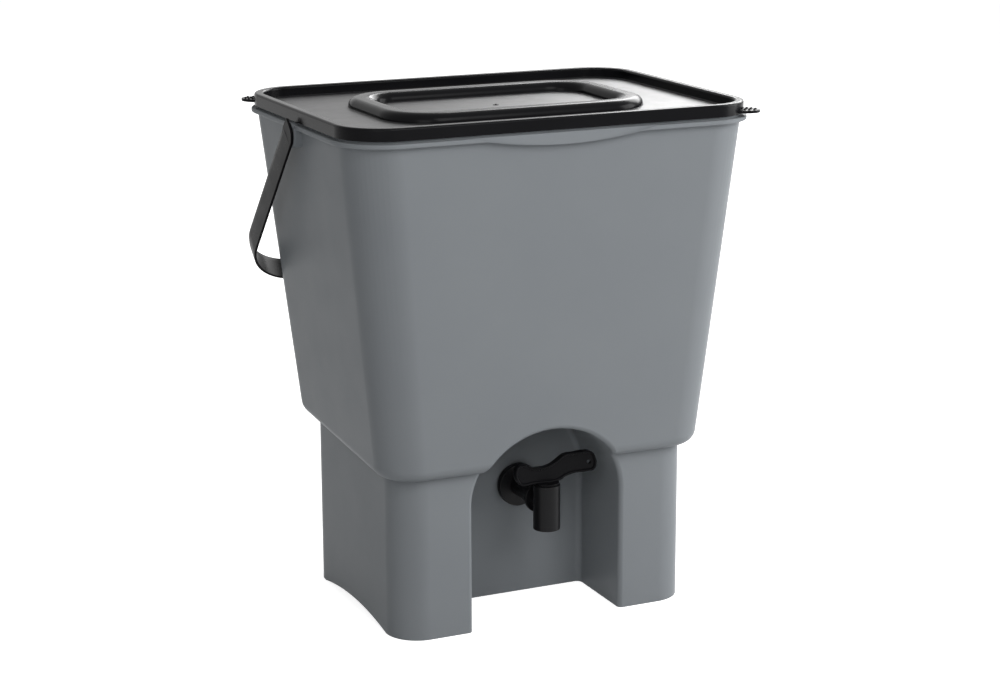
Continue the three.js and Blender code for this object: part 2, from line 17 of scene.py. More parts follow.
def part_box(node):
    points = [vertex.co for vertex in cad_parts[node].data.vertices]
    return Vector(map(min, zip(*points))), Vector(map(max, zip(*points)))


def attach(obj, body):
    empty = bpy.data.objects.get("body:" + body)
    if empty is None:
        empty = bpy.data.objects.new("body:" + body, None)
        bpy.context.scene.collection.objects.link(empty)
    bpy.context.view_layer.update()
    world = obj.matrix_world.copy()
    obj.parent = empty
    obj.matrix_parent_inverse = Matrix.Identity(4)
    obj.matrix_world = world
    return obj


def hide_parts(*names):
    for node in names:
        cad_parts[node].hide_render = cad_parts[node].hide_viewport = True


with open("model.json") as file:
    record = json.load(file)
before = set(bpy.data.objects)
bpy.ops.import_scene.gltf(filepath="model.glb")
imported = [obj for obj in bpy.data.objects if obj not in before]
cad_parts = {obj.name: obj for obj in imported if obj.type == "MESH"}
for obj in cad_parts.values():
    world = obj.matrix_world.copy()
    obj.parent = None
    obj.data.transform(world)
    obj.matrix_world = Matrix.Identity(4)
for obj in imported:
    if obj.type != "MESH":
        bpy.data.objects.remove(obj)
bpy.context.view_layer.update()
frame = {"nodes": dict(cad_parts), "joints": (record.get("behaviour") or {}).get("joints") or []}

bl_info = {
    "name": "Composting Bin",
    "version": (1, 0, 0),
    "blender": (4, 5, 0),
    "location": "View3D > Sidebar > Composting Bin",
    "description": "Models a kitchen composting bin with its lid, handle and tap",
    "category": "Object",
}

PHOTO_WIDTH = 1000
PHOTO_HEIGHT = 681
SENSOR_WIDTH_MM = 36

# Edges along a plan's corner, the alcove's arch, a rounding and a full turn
CORNER_SEGMENTS = 14
ARCH_SEGMENTS = 160
ROUND_SEGMENTS = 5
TURNED_SIDES = 72
# Metres that a cutter runs past what it cuts, that moving pieces stand apart, and that joined ones overlap
OVERRUN = 0.02
CLEARANCE = 0.0003
MM = 0.001
HAIR = MM / 20
# The least part of a face's normal along an axis for the face to be square to it
SQUARE_ON = 0.9


# Sizes and colours

def length(default, label):
    """A length in metres that the sidebar shows."""
    return FloatProperty(name=label, default=default, unit="LENGTH", precision=4)


def plan_half(default, label):
    """Half of a rectangular plan's width and depth."""
    return FloatVectorProperty(name=label, default=default, size=2, unit="LENGTH")


def number(default, label):
    """A number without a unit."""
    return FloatProperty(name=label, default=default, precision=4)


def angle(degrees, label):
    """An angle, given in degrees."""
    return FloatProperty(name=label, default=math.radians(degrees), subtype="ANGLE")


def colour(default, label):
    """An sRGB hex colour."""
    return StringProperty(name=label, default=default, maxlen=7)


class TubSizes(PropertyGroup):
    """Sizes of the grey tub with its plinth, flange and alcove."""

    wall: length(0.0026, "Thickness of the moulded wall")
    skirt_half: plan_half((0.1322, 0.0989), "Half of the plinth's outer width and depth")
    skirt_corner: length(0.028, "Radius of the plinth's upright corners")
    low_half: plan_half((0.144, 0.111), "Half of the tub's width and depth at its lower lip")
    low_corner: length(0.0324, "Radius of the tub's corners at its lower lip")
    lip_bottom: length(0.1363, "Height of the lip's underside at the front")
    lip_round: length(0.01, "Radius of the tub's rounded lower edge")
    lip_rise_share: number(0.075, "Climb of the lower lip behind the front corners")
    top_half: plan_half((0.1734, 0.1274), "Half of the tub's outer width and depth under its flange")
    flange_half: plan_half((0.1786, 0.1326), "Half of the flange's width and depth")
    flange_corner: length(0.0426, "Radius of the flange's corners")
    flange_bottom: length(0.4088, "Height of the flange's underside")
    flange_top: length(0.4124, "Height of the flange's upper face")
    flange_round: length(0.001, "Radius of the flange's edges")
    flange_fillet: length(0.004, "Radius of the hollow rounding under the flange")
    rim_inset: length(0.0024, "How far the rim stands in from the lid's edge")
    rim_top: length(0.4194, "Height of the rim inside the lid's groove")
    rim_round: length(0.0006, "Radius of the rim's and the lugs' edges")
    lug_gap: length(0.0005, "Gap between a lug and the handle's arm")
    grip_half_width: length(0.064, "Half of the width of the finger grip at the front")
    grip_drop: length(0.0054, "How far the finger grip dips below the flange")
    grip_lean: length(0.0026, "How far the finger grip's face leans in at its top")
    floor_top: length(0.076, "Height of the sump's floor")
    arch_half_span: length(0.07, "Half width of the low arch in each side's foot")
    arch_rise: length(0.0067, "Height of the low arch in each side's foot")
    alcove_half_width: length(0.0668, "Half width of the alcove")
    alcove_centre: length(0.106, "Height at which the alcove's vault begins")
    alcove_height: length(0.0615, "Rise of the alcove's elliptical vault")
    alcove_back: length(-0.025, "Place of the alcove's back wall")
    alcove_fillet: length(0.005, "Radius along the edge of the alcove's back wall")
    alcove_mouth_round: length(0.004, "Radius of the edge round the alcove's mouth")


class LidSizes(PropertyGroup):
    """Sizes of the black lid."""

    half: plan_half((0.176, 0.13), "Half of the lid's width and depth without its tabs")
    corner: length(0.04, "Radius of the lid's corners")
    top: length(0.4245, "Height of the lid's highest edge")
    height: length(0.01, "Height of the lid from its lower edge")
    wall: length(0.0018, "Thickness of the lid's wall")
    rim_width: length(0.0076, "Width of the ridge round the lid")
    rim_round: length(0.0024, "Radius of the ridge's edges")
    ring_half: plan_half((0.1158, 0.074), "Half of the raised ring's width and depth")
    ring_corner: length(0.045, "Radius of the raised ring's corners")
    ring_width: length(0.0215, "Width of the raised ring at its foot")
    ring_round: length(0.0074, "Radius of the raised ring's upper edges")
    ring_fillet: length(0.002, "Radius of the hollow rounding at the ring's foot")
    ring_below: length(0.0005, "How far the raised ring stays below the lid's top")
    tab_reach: length(0.0139, "How far a pull tab stands out from its corner")
    tab_width: length(0.021, "Width of a pull tab")
    tab_thickness: length(0.0024, "Thickness of a pull tab")
    tab_below: length(0.008, "How far a tab's middle lies under the lid's top")
    tab_turn: angle(40, "Angle between a pull tab and the lid's long side")
    tab_round: length(0.0005, "Radius of a pull tab's edges")
    pimple_radius: length(0.0011, "Radius of the grip pimples on a tab")
    gate_radius: length(0.0024, "Radius of the gate mark")
    gate_height: length(0.0003, "Height of the gate mark over the panel")
    gate_tip_radius: length(0.0008, "Radius of the gate mark's tip")
    gate_tip_height: length(0.0009, "Height of the gate mark's tip over the panel")


class TapSizes(PropertyGroup):
    """Sizes of the tap and its lever."""

    x: length(0.006, "Sideways place of the tap")
    z: length(0.0974, "Height of the tap's level axis")
    washer_radius: length(0.0174, "Radius of the rubber washer")
    washer_bore: length(0.0107, "Radius of the washer's hole")
    flange_radius: length(0.0184, "Radius of the tap's flange")
    barrel_radius: length(0.0086, "Radius of the level barrel")
    collar_radius: length(0.0126, "Radius of the collar on the barrel")
    spout_radius: length(0.0112, "Outer radius of the upright spout")
    flange_thickness: length(0.0048, "Thickness of the tap's flange")
    flange_round: length(0.0008, "Radius of the flange's front edge")
    collar_gap: length(0.0032, "Distance from the spout to the collar")
    collar_width: length(0.0028, "Width of the collar")
    collar_round: length(0.0006, "Radius of the collar's edges")
    spout_round: length(0.0007, "Radius of the spout's edges")
    small_round: length(0.0004, "Radius of the edges of the washer and the neck")
    shank_radius: length(0.0104, "Radius of the shank through the wall")
    spout_bore: length(0.0082, "Radius of the spout's bore")
    feed_bore: length(0.0056, "Radius of the bore that feeds the spout")
    blade_length: length(0.0737, "Length of the lever's blade")
    blade_tail: length(0.0292, "Length of the blade behind the spout's axis")
    blade_height: length(0.0229, "Height of the blade's outline")
    blade_thickness: length(0.006, "Thickness of the blade at its rim")
    blade_rim: length(0.0014, "Width of the raised rim round the blade's faces")
    blade_recess: length(0.0016, "Depth of the blade's faces inside the rim")
    blade_round: length(0.0006, "Radius of the blade's edges and width of the recess's slope")
    neck_radius: length(0.0102, "Radius of the neck under the blade")
    neck_height: length(0.0016, "Height of the neck under the blade")
    plug_window: length(0.0054, "Radius of the way through the plug")
    hole_radius: length(0.002, "Radius of the hole in the blade")
    hole_from_tip: length(0.0065, "Distance from the blade's tip to the hole")
    hole_up: length(0.013, "Height of the hole over the blade's lower edge")


class HandleSizes(PropertyGroup):
    """Sizes of the carry handle."""

    inner_half: length(0.1803, "Half of the distance between the arms")
    reach: length(0.188, "Distance from the hinge axis to the cross part's outer face")
    corner: length(0.0508, "Outer radius of the strap's bends")
    width: length(0.0206, "Width of the strap")
    thickness: length(0.0022, "Thickness of the strap")
    ridge: length(0.0026, "Thickness where the thin rear strip begins")
    rear_edge: length(0.0009, "Thickness of the strap's rear edge")
    rear_strip: length(0.005, "Width of the strap's thin rear strip")
    edge_round: length(0.0003, "Radius of the strap's edges")
    head_round: length(0.002, "Radius of the rear corner at each end of the strap")
    pin_radius: length(0.0042, "Radius of the stub pins")
    pin_length: length(0.0058, "Length of the stub pins")


class Finishes(PropertyGroup):
    """Colours of the mouldings and the stage."""

    grey: colour("#7e8285", "Colour of the tub")
    grey_cloud: colour("#787c80", "Colour that the tub drifts to in places")
    black: colour("#0b0b0d", "Colour of the lid and the handle")
    black_worn: colour("#151517", "Colour of the lid where it is scuffed")
    tap_black: colour("#0c0c0d", "Colour of the tap")
    rubber: colour("#0c0c0d", "Colour of the seals")
    floor: colour("#d4d4d4", "Colour of the floor")
    backdrop: colour("#ffffff", "Colour behind the object")
    floor_lift: number(0.85, "White added to the floor where the camera sees it")
    even_light: number(0.2, "Strength of the even light from all around")


class ViewSettings(PropertyGroup):
    """The camera, as solved from the photograph."""

    azimuth: angle(24.56, "Angle to the left of straight in front")
    elevation: angle(14.10, "Angle above the horizon")
    roll: angle(-0.19, "Turn about the line of sight")
    focal_pixels: number(2312.98, "Focal length in pixels of the photograph")
    distance: length(1.95341, "Distance along the line of sight")
    target_height: length(0.21, "Height of the point on the bin's axis that is aimed at")
    target_pixel: FloatVectorProperty(name="Where that point lies in the photograph", size=2,
                                      default=(496.75, 347.88))


# Modelling helpers

def activate(piece):
    """Makes a piece the only selected and the active object."""
    bpy.ops.object.select_all(action="DESELECT")
    piece.select_set(True)
    bpy.context.view_layer.objects.active = piece


def name_piece(piece, name):
    """Gives a piece and its mesh one name."""
    piece.name = name
    piece.data.name = name


def settle():
    """Moves the active object's place into its mesh."""
    bpy.ops.object.transform_apply(location=True, rotation=True, scale=True)
    return bpy.context.object


def add_solid(operator, scale=(1, 1, 1), **settings):
    """Adds one of Blender's own solids or planes, scaled and settled."""
    bpy.ops.object.select_all(action="DESELECT")
    operator(**settings)
    bpy.context.object.scale = scale
    return settle()


def edit(piece):
    """Opens a piece in edit mode with nothing selected."""
    activate(piece)
    bpy.ops.object.mode_set(mode="EDIT")
    bpy.ops.mesh.select_all(action="DESELECT")


def leave_edit():
    """Closes edit mode."""
    bpy.ops.object.mode_set(mode="OBJECT")


def pick_all():
    """Selects the whole mesh in edit mode."""
    bpy.ops.mesh.select_all(action="SELECT")


def extrude(x, y, z):
    """Extrudes what is selected by a move."""
    bpy.ops.mesh.extrude_region_move(TRANSFORM_OT_translate={"value": (x, y, z)})


def cut_across(y):
    """Adds edges all round the mesh in edit mode at a place between front and back."""
    pick_all()
    bpy.ops.mesh.bisect(plane_co=(0, y, 0), plane_no=(0, 1, 0))


def pick_faces(piece, test):
    """Selects, in edit mode, only the faces whose middle and normal pass a test."""
    bpy.ops.mesh.select_mode(type="FACE")
    bpy.ops.mesh.select_all(action="DESELECT")
    shape = bmesh.from_edit_mesh(piece.data)
    for face in shape.faces:
        face.select_set(bool(test(face.calc_center_median(), face.normal)))
    bmesh.update_edit_mesh(piece.data)


def pick_edges(piece, test):
    """Selects, in edit mode, only the edges that pass a test."""
    bpy.ops.mesh.select_mode(type="EDGE")
    bpy.ops.mesh.select_all(action="DESELECT")
    shape = bmesh.from_edit_mesh(piece.data)
    for edge in shape.edges:
        edge.select_set(bool(test(edge)))
    bmesh.update_edit_mesh(piece.data)


def near(a, b, slack=2e-5):
    """Whether two lengths are the same but for rounding."""
    return abs(a - b) < slack


def at_height(z):
    """A test for edges that lie level at a height."""
    return lambda edge: all(near(vertex.co.z, z) for vertex in edge.verts)


def is_sharp(edge, degrees=30):
    """Whether an edge's two faces meet at more than an angle."""
    return len(edge.link_faces) == 2 and edge.calc_face_angle() > math.radians(degrees)


def bevel_picked(radius, segments=ROUND_SEGMENTS):
    """Rounds the selected edges."""
    bpy.ops.mesh.bevel(offset_type="OFFSET", offset=radius, segments=segments, affect="EDGES",
                       clamp_overlap=True, loop_slide=True)


def round_edges(piece, radius, test, segments=ROUND_SEGMENTS):
    """Rounds the edges of a piece that pass a test."""
    edit(piece)
    pick_edges(piece, test)
    bevel_picked(radius, segments)
    leave_edit()


def round_sharp(piece, radius, segments=3, where=None, degrees=60):
    """Rounds a piece's sharp edges, or those of them whose points all pass a test."""
    round_edges(piece, radius, lambda edge: is_sharp(edge, degrees) and (
        where is None or all(where(vertex.co) for vertex in edge.verts)), segments)


def face_out(piece):
    """Merges doubled points and turns every face outwards."""
    edit(piece)
    pick_all()
    bpy.ops.mesh.remove_doubles(threshold=1e-6)
    bpy.ops.mesh.normals_make_consistent(inside=False)
    leave_edit()
    return piece


def combine(piece, other, operation):
    """Joins, cuts or crosses a piece with another, which is used up."""
    activate(piece)
    modifier = piece.modifiers.new("Combine", "BOOLEAN")
    modifier.object = other
    modifier.operation = operation
    modifier.solver = "EXACT"
    bpy.ops.object.modifier_apply(modifier=modifier.name)
    bpy.data.objects.remove(other)
    return piece


def join_all(piece, others):
    """Fuses other solids into a piece."""
    for other in others:
        combine(piece, other, "UNION")
    return piece


def cut_all(piece, others):
    """Cuts other solids out of a piece."""
    for other in others:
        combine(piece, other, "DIFFERENCE")
    return piece


def smooth(piece, degrees=32):
    """Shades a piece smoothly, with its flats kept flat by area-weighted normals."""
    activate(piece)
    bpy.ops.object.shade_smooth_by_angle(angle=math.radians(degrees))
    modifier = piece.modifiers.new("Flat flats", "WEIGHTED_NORMAL")
    modifier.keep_sharp = True
    modifier.weight = 60
    bpy.ops.object.modifier_apply(modifier=modifier.name)


def hand_over(piece, name, body, nodes, material):
    """Names, finishes and smooths a piece, hides the frame's nodes that it stands for, and hangs it on its
    body.
    """
    name_piece(piece, name)
    dress(piece, material)
    smooth(piece)
    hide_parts(*nodes)
    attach(piece, body)


def rounded_block(half, radius, low, high, top_half=None):
    """A solid with a rounded rectangular plan, which may widen towards its top."""
    piece = add_solid(bpy.ops.mesh.primitive_plane_add, (2 * half[0], 2 * half[1], 1),
                      size=1, location=(0, 0, low))
    edit(piece)
    pick_all()
    bpy.ops.mesh.bevel(offset_type="OFFSET", offset=radius, segments=CORNER_SEGMENTS, affect="VERTICES")
    pick_all()
    extrude(0, 0, high - low)
    if top_half:
        bpy.ops.transform.resize(value=(top_half[0] / half[0], top_half[1] / half[1], 1))
    leave_edit()
    return face_out(piece)


def cylinder(radius, start, end, sides=TURNED_SIDES):
    """A round bar between two points."""
    start, end = Vector(start), Vector(end)
    return add_solid(bpy.ops.mesh.primitive_cylinder_add, vertices=sides, radius=radius,
                     depth=(end - start).length, location=(start + end) / 2,
                     rotation=turn_to(end - start))


def cross_bar(radius, z, start, end, sides=TURNED_SIDES):
    """A round bar from side to side at a height."""
    return cylinder(radius, (start, 0, z), (end, 0, z), sides)


def turn_to(direction):
    """The turn that takes +Z to a direction."""
    return Vector((0, 0, 1)).rotation_difference(direction).to_euler()


def cuboid(low, high):
    """A box between two corners."""
    low, high = Vector(low), Vector(high)
    return add_solid(bpy.ops.mesh.primitive_cube_add, high - low, size=1, location=(low + high) / 2)


def closed_outline(name, places, thickness, resolution):
    """A filled curve through places in the XY plane, with a thickness, and its points."""
    curve = bpy.data.curves.new(name, "CURVE")
    curve.dimensions = "2D"
    curve.fill_mode = "BOTH"
    curve.resolution_u = resolution
    curve.extrude = thickness / 2
    spline = curve.splines.new("BEZIER")
    spline.bezier_points.add(len(places) - 1)
    spline.use_cyclic_u = True
    for point, place in zip(spline.bezier_points, places):
        point.co = place
    piece = bpy.data.objects.new(name, curve)
    bpy.context.scene.collection.objects.link(piece)
    return piece, spline.bezier_points


def curve_to_mesh(piece):
    """Turns a curve into a mesh."""
    activate(piece)
    bpy.ops.object.convert(target="MESH")
    return bpy.context.object


def shrunk(half, by):
    """A plan's half sizes, less an inset."""
    return (half[0] - by, half[1] - by)


def hinge_place(body):
    """The place of a body's hinge, as the frame states it."""
    return Vector(next(joint for joint in frame["joints"] if joint["child"] == body)["pos_m"])


# Tub

def lip_rise(sizes, y):
    """How much higher the lower lip is at a place than at the front corners."""
    return sizes.lip_rise_share * max(0, y - lip_bend(sizes))


def lip_bend(sizes):
    """The place behind the front corners where the lip begins to climb."""
    return sizes.low_corner - sizes.low_half[1]


def ledge_rise(sizes, y):
    """How much higher the ledge inside is at a place than at its front."""
    front = sizes.wall - sizes.low_half[1]
    return lip_rise(sizes, sizes.low_half[1]) * (y - front) / (-2 * front)


def tub_core(sizes, inset, low, high, rise_at):
    """The tapered tub with its rounded lower edge, shrunk all over by an inset.

    The lower edge climbs towards the back, where its points move up along the slant of the wall.
    """
    slant_from = low + sizes.lip_round - inset
    slants = [(top - side) / (sizes.flange_bottom - slant_from)
              for top, side in zip(sizes.top_half, sizes.low_half)]
    foot = [side - inset - slant * (slant_from - low) for side, slant in zip(sizes.low_half, slants)]
    over = high - sizes.flange_bottom
    head = [top - inset + slant * over for top, slant in zip(sizes.top_half, slants)]
    core = rounded_block(foot, sizes.low_corner - inset, low, high, head)
    round_edges(core, sizes.lip_round - inset, at_height(low), ROUND_SEGMENTS + 3)
    edit(core)
    cut_across(lip_bend(sizes))
    leave_edit()
    growth = [(wide / narrow - 1) / (high - low) for wide, narrow in zip(head, foot)]
    for vertex in core.data.vertices:
        x, y, z = vertex.co
        if z < slant_from + CLEARANCE:
            lift = rise_at(sizes, y)
            vertex.co = (x * (1 + growth[0] * lift), y * (1 + growth[1] * lift), z + lift)
    return core


def skin(name, rings):
    """A closed solid over rings with equal numbers of points."""
    count = len(rings[0])
    last = (len(rings) - 1) * count
    faces = [range(count), range(last, last + count)]
    for low in range(0, last, count):
        for i in range(count):
            after = (i + 1) % count
            faces.append((low + i, low + after, low + count + after, low + count + i))
    mesh = bpy.data.meshes.new(name)
    mesh.from_pydata([point for ring in rings for point in ring], [], faces)
    piece = bpy.data.objects.new(name, mesh)
    bpy.context.scene.collection.objects.link(piece)
    return face_out(piece)


def front_face(sizes, z):
    """The place of the plinth's front at a height, and above it of the tub's rounded lip and wall."""
    up = z - sizes.lip_bottom - sizes.lip_round
    if z < sizes.lip_bottom:
        return -sizes.skirt_half[1]
    if up < 0:
        return sizes.lip_round - sizes.low_half[1] - math.sqrt(sizes.lip_round ** 2 - up ** 2)
    wall_height = sizes.flange_bottom - sizes.lip_bottom - sizes.lip_round
    slant = (sizes.top_half[1] - sizes.low_half[1]) / wall_height
    return -sizes.low_half[1] - up * slant


def quarter_round(radius, segments):
    """Pairs of inset and depth along a quarter circle, from its full inset down to none."""
    turns = [math.pi / 2 * i / segments for i in range(segments + 1)]
    return [(radius * (1 - math.sin(turn)), radius * (1 - math.cos(turn))) for turn in turns]


def alcove_space(sizes, outwards):
    """The alcove as a solid: upright sides under half an ellipse, rounded along its back.

    The one that cuts the outside also opens out round its mouth, which follows the plinth, lip and wall.
    """
    def outline(inset, place_at):
        half = sizes.alcove_half_width + outwards - inset
        rise = sizes.alcove_height + outwards - inset
        turns = [math.pi * i / ARCH_SEGMENTS for i in range(ARCH_SEGMENTS + 1)]
        arch = [(half * math.cos(turn), sizes.alcove_centre + rise * math.sin(turn)) for turn in turns]
        return [(x, place_at(z), z) for x, z in ((half, -OVERRUN), *arch, (-half, -OVERRUN))]

    back = sizes.alcove_back + outwards
    rings = [outline(inset, lambda z, depth=depth: back - depth)
             for inset, depth in quarter_round(sizes.alcove_fillet + outwards, ROUND_SEGMENTS + 3)]
    mouth = sizes.alcove_mouth_round
    if outwards:
        mouth = 0
    else:
        for depth, inset in quarter_round(mouth, ROUND_SEGMENTS + 2):
            rings.append(outline(-inset, lambda z, depth=depth: front_face(sizes, z) - MM / 50 + depth))
    rings.append(outline(-mouth, lambda z: -(sizes.flange_half[1] + OVERRUN)))
    return skin("alcove", rings)


def grip_radius(sizes):
    """The radius of the arc along the finger grip's lower edge."""
    half, drop = sizes.grip_half_width, sizes.grip_drop
    return (half * half + drop * drop) / (2 * drop)


def finger_grip(sizes):
    """The shallow crescent that hangs from the flange at the front."""
    radius, drop = grip_radius(sizes), sizes.grip_drop
    centre = sizes.flange_bottom - drop + radius
    front = -(sizes.flange_half[1] + OVERRUN)
    back = -(sizes.top_half[1] - sizes.wall)
    disc = cylinder(radius, (0, front, centre), (0, back, centre), 8 * TURNED_SIDES)
    band = rounded_block(sizes.flange_half, sizes.flange_corner, sizes.flange_bottom - 2 * drop,
                         sizes.flange_top - MM)
    return combine(band, disc, "INTERSECT")


def grip_hollow(sizes):
    """The space in front of the finger grip's leaning face, which takes in the flange over it."""
    foot = Vector((0, -sizes.flange_half[1], sizes.flange_bottom - sizes.grip_drop + MM / 4))
    climb = Vector((0, sizes.grip_lean, sizes.flange_top - foot.z)).normalized()
    outward = Vector((0, -climb.z, climb.y))
    middle = foot + grip_radius(sizes) * climb
    return cylinder(grip_radius(sizes), middle, middle + OVERRUN * outward, 8 * TURNED_SIDES)


def foot_arch(sizes, side):
    """The low arch cut in one side's foot."""
    span, rise = sizes.arch_half_span, sizes.arch_rise
    places = [(-span, -OVERRUN, 0), (-span, 0, 0), (span, 0, 0), (span, -OVERRUN, 0)]
    cutter, points = closed_outline("foot_arch", places, 2 * OVERRUN, 16)
    for point in points:
        point.handle_left = point.handle_right = point.co
    points[1].handle_right = (-span / 3, rise * 4 / 3, 0)
    points[2].handle_left = (span / 3, rise * 4 / 3, 0)
    cutter = curve_to_mesh(cutter)
    cutter.matrix_world = Matrix((
        (0, 0, 1, side * sizes.skirt_half[0]), (1, 0, 0, 0), (0, 1, 0, 0), (0, 0, 0, 1)))
    settle()
    return face_out(cutter)


def handle_lug(sizes, handle, side):
    """The U-shaped lug on the tub's side that holds one of the handle's pins."""
    near_x, far_x = side * sizes.skirt_half[0], side * (handle.inner_half - sizes.lug_gap)
    half = handle.width / 2
    pivot = hinge_place("handle").z
    lug = cross_bar(half, pivot, near_x, far_x)
    low, high = sorted((near_x, far_x))
    combine(lug, cuboid((low, -half, pivot), (high, half, sizes.flange_bottom + MM)), "UNION")
    face_out(lug)
    round_sharp(lug, sizes.rim_round, where=lambda point: near(point.x, far_x))
    return lug


def under_flange(edge, sizes):
    """Whether an edge is the hollow one where the tub's wall meets the flange or the finger grip."""
    if not is_sharp(edge, 40) or edge.is_convex:
        return False
    low = sizes.flange_bottom - sizes.grip_drop - MM
    return all(low < vertex.co.z < sizes.flange_bottom + MM / 2 for vertex in edge.verts)


def rim_block(sizes, lid, inset, low, high):
    """A solid with the plan of the rim inside the lid's groove, shrunk by an inset."""
    inset = sizes.rim_inset + inset
    return rounded_block(shrunk(lid.half, inset), lid.corner - inset, low, high)


def lip_top(sizes):
    """The highest place of the rounded lower lip, at the back."""
    return sizes.lip_bottom + sizes.lip_round + lip_rise(sizes, sizes.low_half[1])


def plinth_block(sizes, inset, low, high):
    """A solid with the plinth's plan, shrunk by an inset."""
    return rounded_block(shrunk(sizes.skirt_half, inset), sizes.skirt_corner - inset, low, high)


class BIN_OT_tub(Operator):
    """Model the grey tub with its plinth, alcove, flange and lugs"""

    bl_idname = "composting_bin.tub"
    bl_label = "Tub"

    def execute(self, context):
        scene = context.scene
        tub = self.outside(scene.bin_tub, scene.bin_lid, scene.bin_handle)
        cut_all(tub, self.hollows(scene.bin_tub, scene.bin_lid))
        cut_all(tub, self.holes(scene.bin_tub, scene.bin_tap, scene.bin_handle))
        face_out(tub)
        hand_over(tub, "grey_tub", "bin", ["bin_body"], moulded_grey(context))
        return {"FINISHED"}

    def outside(self, sizes, lid, handle):
        """The tub with its flange, rim, plinth and lugs, solid but for the alcove and the low arches."""
        tub = tub_core(sizes, 0, sizes.lip_bottom, sizes.flange_bottom + MM, lip_rise)
        flange = rounded_block(sizes.flange_half, sizes.flange_corner,
                               sizes.flange_bottom, sizes.flange_top)
        round_sharp(flange, sizes.flange_round)
        join_all(tub, [flange, finger_grip(sizes)])
        round_edges(tub, sizes.flange_fillet, lambda edge: under_flange(edge, sizes), 4)
        cut_all(tub, [grip_hollow(sizes)])
        rim = rim_block(sizes, lid, 0, sizes.flange_top - MM, sizes.rim_top)
        round_edges(rim, sizes.rim_round, at_height(sizes.rim_top), 2)
        join_all(tub, [plinth_block(sizes, 0, 0, lip_top(sizes)), rim,
                       handle_lug(sizes, handle, -1), handle_lug(sizes, handle, 1)])
        return cut_all(tub, [alcove_space(sizes, 0), foot_arch(sizes, -1), foot_arch(sizes, 1)])

    def hollows(self, sizes, lid):
        """The spaces inside the tub and its sump, and in the plinth under the sump's floor."""
        inside = tub_core(sizes, sizes.wall, sizes.lip_bottom + sizes.wall,
                          sizes.flange_bottom + MM / 2, ledge_rise)
        join_all(inside, [
            rim_block(sizes, lid, sizes.wall, sizes.flange_bottom, sizes.rim_top + OVERRUN),
            plinth_block(sizes, sizes.wall, sizes.floor_top, lip_top(sizes)),
        ])
        under_floor = plinth_block(sizes, sizes.wall, -OVERRUN, sizes.floor_top - sizes.wall)
        for space in (inside, under_floor):
            combine(space, alcove_space(sizes, sizes.wall), "DIFFERENCE")
        return [inside, under_floor]

    def holes(self, sizes, tap, handle):
        """The hole for the tap's shank and the two blind holes for the handle's pins."""
        pins = [cross_bar(handle.pin_radius + CLEARANCE, hinge_place("handle").z,
                          side * (handle.inner_half - handle.pin_length - CLEARANCE),
                          side * (handle.inner_half + OVERRUN), sides=48) for side in (-1, 1)]
        return [level_bar(tap, tap.washer_bore, sizes.alcove_back - MM, OVERRUN), *pins]


# Lid

# Rows of pimples on a pull tab: their place as a share of its reach, and how many stand in the row.
PIMPLE_ROWS = ((0.16, 3), (0.42, 3), (0.70, 2))
PIMPLE_SPACING_SHARE = 0.24


def lid_plan_block(sizes, inset, low, high):
    """A solid with the lid's plan, shrunk by an inset."""
    return rounded_block(shrunk(sizes.half, inset), sizes.corner - inset, low, high)


def lid_shell(sizes):
    """The lid's ridge and its lower panel."""
    bottom = sizes.top - sizes.height
    lid = rounded_block(sizes.half, sizes.corner, bottom, sizes.top)
    edit(lid)
    pick_faces(lid, lambda middle, normal: normal.z > SQUARE_ON)
    bpy.ops.mesh.inset(thickness=sizes.rim_width)
    extrude(0, 0, bottom + sizes.wall - sizes.top)
    pick_edges(lid, at_height(sizes.top))
    bevel_picked(sizes.rim_round)
    leave_edit()
    return lid


def raised_ring(sizes, inset, bottom):
    """The rounded ring on the lid, shrunk all over by an inset for the hollow under it."""
    top = sizes.top - sizes.ring_below - inset
    half = shrunk(sizes.ring_half, inset)
    width = sizes.ring_width - 2 * inset
    ring = rounded_block(half, sizes.ring_corner - inset, bottom, top)
    edit(ring)
    pick_faces(ring, lambda middle, normal: abs(normal.z) > SQUARE_ON)
    bpy.ops.mesh.inset(thickness=width)
    bpy.ops.mesh.bridge_edge_loops()
    pick_edges(ring, lambda edge: is_sharp(edge, 60) and at_height(top)(edge))
    bevel_picked(sizes.ring_round - inset, ROUND_SEGMENTS + 2)
    leave_edit()
    return face_out(ring)


def pull_tab(sizes, side):
    """A pull tab at one corner, with its pimples."""
    angle = (math.pi if side < 0 else 0) - sizes.tab_turn
    out = Vector((math.cos(angle), math.sin(angle), 0))
    across = Vector((-out.y, out.x, 0))
    root = Vector((side * (sizes.half[0] - sizes.corner), -side * (sizes.half[1] - sizes.corner), 0))
    middle = sizes.top - sizes.tab_below
    tab = add_solid(bpy.ops.mesh.primitive_cylinder_add, (sizes.tab_reach, sizes.tab_width / 2, 1),
                    vertices=TURNED_SIDES, radius=1, depth=sizes.tab_thickness,
                    location=root + out * sizes.corner + Vector((0, 0, middle)), rotation=(0, 0, angle))
    round_sharp(tab, sizes.tab_round)
    for reach_share, count in PIMPLE_ROWS:
        for i in range(count):
            sideways = (i - (count - 1) / 2) * sizes.tab_width * PIMPLE_SPACING_SHARE
            place = root + out * (sizes.corner + sizes.tab_reach * reach_share) + across * sideways
            place.z = middle + sizes.tab_thickness / 2
            combine(tab, add_solid(bpy.ops.mesh.primitive_uv_sphere_add, segments=16, ring_count=8,
                                   radius=sizes.pimple_radius, location=place), "UNION")
    return tab


def gate_mark(sizes, panel):
    """The small round mark at the lid's middle where the mould was filled."""
    mark = cylinder(sizes.gate_radius, (0, 0, panel - MM), (0, 0, panel + sizes.gate_height), sides=32)
    tip = cylinder(sizes.gate_tip_radius, (0, 0, panel - MM / 2),
                   (0, 0, panel + sizes.gate_tip_height), sides=16)
    return combine(mark, tip, "UNION")


